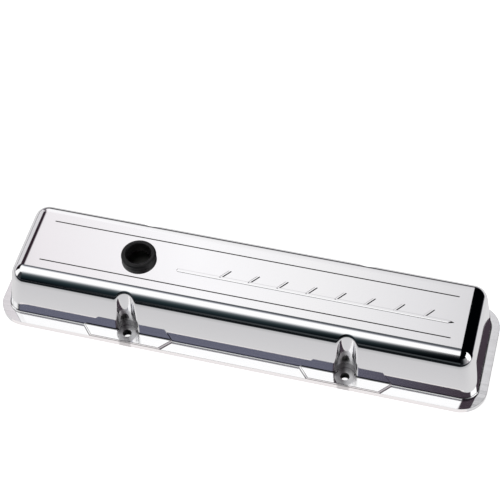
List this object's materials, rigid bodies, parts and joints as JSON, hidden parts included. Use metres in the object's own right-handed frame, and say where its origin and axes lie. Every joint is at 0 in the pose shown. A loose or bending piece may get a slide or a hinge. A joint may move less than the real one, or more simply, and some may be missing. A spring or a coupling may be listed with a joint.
{
  "type": "engine valve cover",
  "caption": "Long polished cast cover that closes in the valve gear on top of an engine, with a sealing flange, bolt pockets in its walls and a breather hole.",
  "frame": {"origin": "centre of the sealing face, at the height of that face", "axes": "+X along the engine, towards the plain end of the cover; +Z out of the cover's top; +Y across, away from the raised bar"},
  "size_m": [0.4994, 0.1276, 0.0722],
  "materials": {
    "polished_aluminium": "mirror polished",
    "black_rubber": "smooth moulded rubber",
    "baffle_sheet": "plain rolled sheet",
    "screw_steel": "zinc plated"
  },
  "bodies": {
    "root": {"cover_shell": "polished_aluminium", "breather_grommet": "black_rubber", "oil_baffle": "baffle_sheet", "baffle_screws": "screw_steel"}
  },
  "joints": []
}
